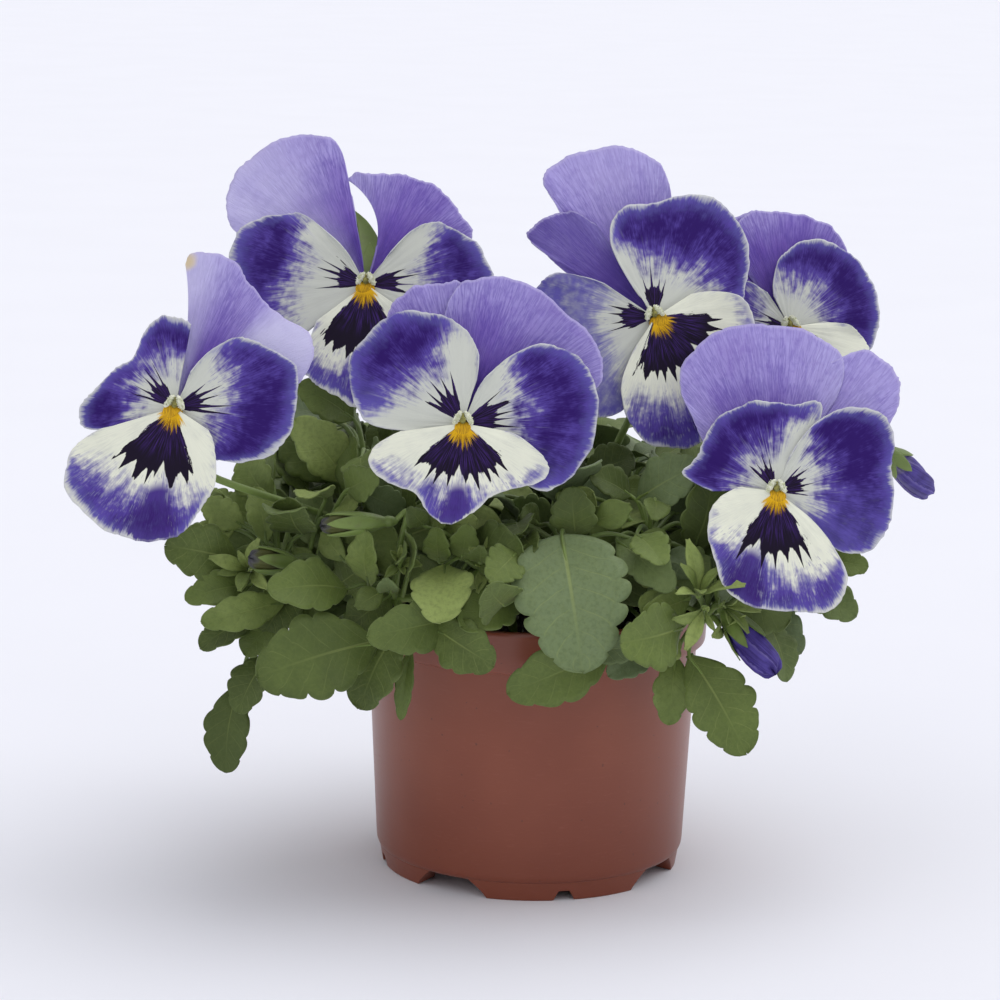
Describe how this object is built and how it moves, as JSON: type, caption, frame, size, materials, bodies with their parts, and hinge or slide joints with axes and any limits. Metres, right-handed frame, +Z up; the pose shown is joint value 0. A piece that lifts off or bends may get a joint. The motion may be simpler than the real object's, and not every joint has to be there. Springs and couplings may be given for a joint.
{
  "type": "potted pansy planter",
  "caption": "Flowering violet and white pansy with crenate leaves, buds and open blooms on hooked stalks, standing in soil in a round plastic pot with low feet.",
  "frame": {"origin": "on the axis of the pot at the surface it stands on, within 2 mm of the middle of the whole outline seen from above", "axes": "+Z up, +X to the right along the widest reach of the blooms, -Y to the front, which the blooms face"},
  "size_m": [0.2919, 0.2018, 0.246],
  "materials": {
    "pot": "thin moulded terracotta-coloured plastic with a silky sheen",
    "soil": "dark peat compost with pale grains, rough and matt",
    "upper_petal": "soft lavender petal with fine darker veins",
    "patterned_petal": "cream petal with a near-black blotch, a deep violet outer zone and a golden eye",
    "bud_petal": "furled deep violet petals",
    "stalk": "smooth light green stalk and sepals",
    "leaf": "mid green leaf, slightly glossy, with a paler midrib"
  },
  "bodies": {
    "root": {"bloom_1_face": "patterned_petal", "bloom_1_stalk": "stalk", "bloom_1_upper_petals": "upper_petal", "bloom_2_face": "patterned_petal", "bloom_2_stalk": "stalk", "bloom_2_upper_petals": "upper_petal", "bloom_3_face": "patterned_petal", "bloom_3_stalk": "stalk", "bloom_3_upper_petals": "upper_petal", "bloom_4_face": "patterned_petal", "bloom_4_stalk": "stalk", "bloom_4_upper_petals": "upper_petal", "bloom_5_face": "patterned_petal", "bloom_5_stalk": "stalk", "bloom_5_upper_petals": "upper_petal", "bloom_6_face": "patterned_petal", "bloom_6_stalk": "stalk", "bloom_6_upper_petals": "upper_petal", "bud_1_petals": "bud_petal", "bud_2_petals": "bud_petal", "bud_3_petals": "bud_petal", "bud_4_petals": "bud_petal", "pot": "pot", "soil": "soil", "stem_back": "leaf", "stem_back_left": "leaf", "stem_back_left_2": "leaf", "stem_back_right": "leaf", "stem_back_right_2": "leaf", "stem_far_right": "leaf", "stem_front": "leaf", "stem_front_left": "leaf", "stem_front_right": "leaf", "stem_inner_back": "leaf", "stem_inner_front": "leaf", "stem_inner_left": "leaf", "stem_inner_right": "leaf", "stem_left": "leaf", "stem_left_high": "leaf", "stem_low_right": "leaf", "stem_right": "leaf", "stem_side_left": "leaf", "stem_side_right": "leaf"}
  },
  "joints": []
}
